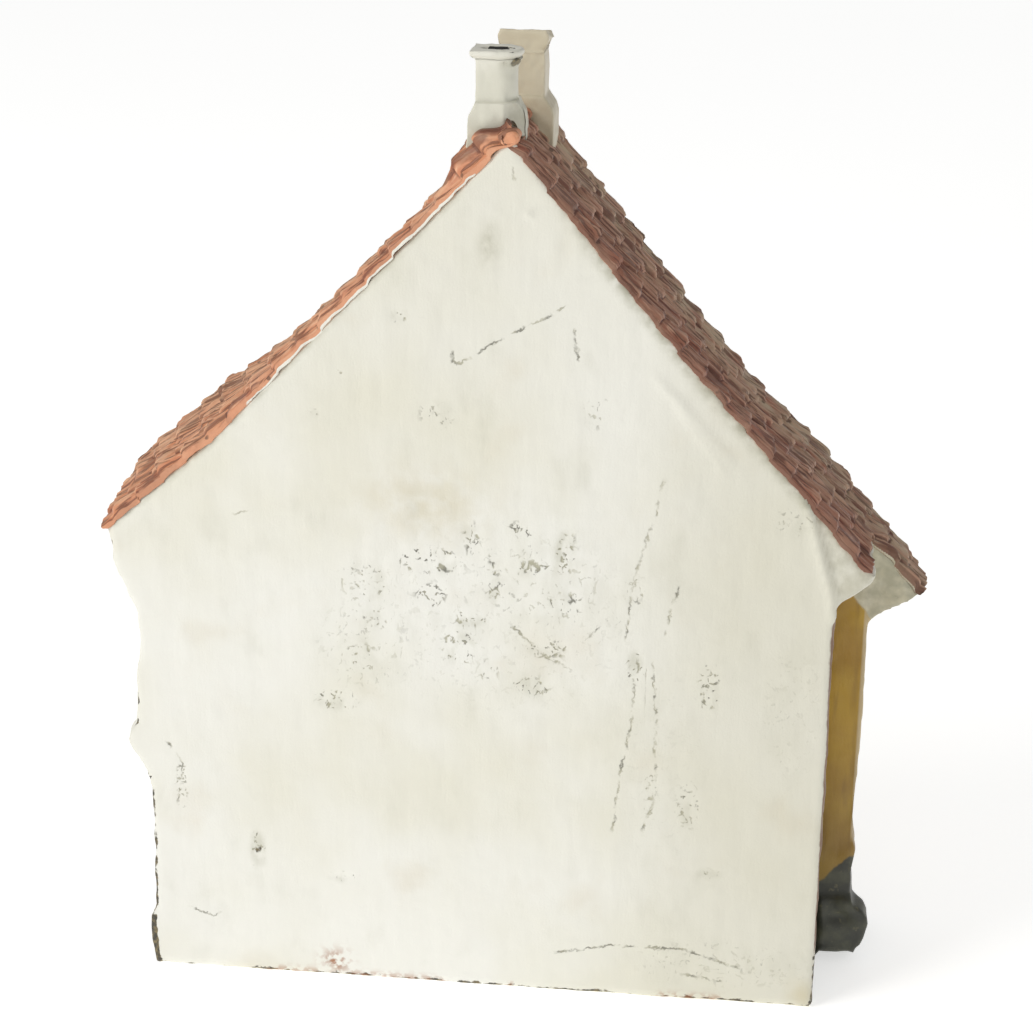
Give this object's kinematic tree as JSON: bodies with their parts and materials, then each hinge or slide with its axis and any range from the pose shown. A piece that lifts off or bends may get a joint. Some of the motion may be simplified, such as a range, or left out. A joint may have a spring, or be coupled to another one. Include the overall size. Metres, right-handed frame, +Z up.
{
  "type": "still bank",
  "caption": "House-shaped cast-iron still bank with a plain painted gable, a dressed front, tiled roof plates, two chimneys, a coin slot and a sliding coin trap.",
  "frame": {"origin": "on the table, at the middle of the bank's bounding box in X and Y", "axes": "+Z up; +X across the gable, towards the longer eave; -Y is the way the plain back gable faces"},
  "size_m": [0.1143, 0.027, 0.133],
  "materials": {
    "white_paint": "aged hand-brushed oil paint, satin, chipped",
    "yellow_paint": "aged hand-brushed oil paint, satin",
    "red_paint": "aged hand-brushed oil paint over cast tile relief, satin",
    "bare_iron": "sand-cast, lightly rusted",
    "steel": "dulled by age"
  },
  "bodies": {
    "case": {"back_casting": "white_paint", "front_casting": "yellow_paint", "roof_left": "red_paint", "roof_right": "red_paint", "back_chimney": "white_paint", "front_chimney": "white_paint", "chimney_pins": "steel", "case_screws": "steel", "base_plate": "bare_iron", "trap_spring": "steel", "trap_spring_rivets": "steel", "slot_baffle": "steel", "baffle_rivets": "steel"},
    "trap": {"trap_slide": "steel"}
  },
  "joints": [
    {"name": "trap_travel", "type": "slide", "parent": "case", "child": "trap", "axis": [1, 0, 0], "range_m": [0, 0.033]}
  ]
}
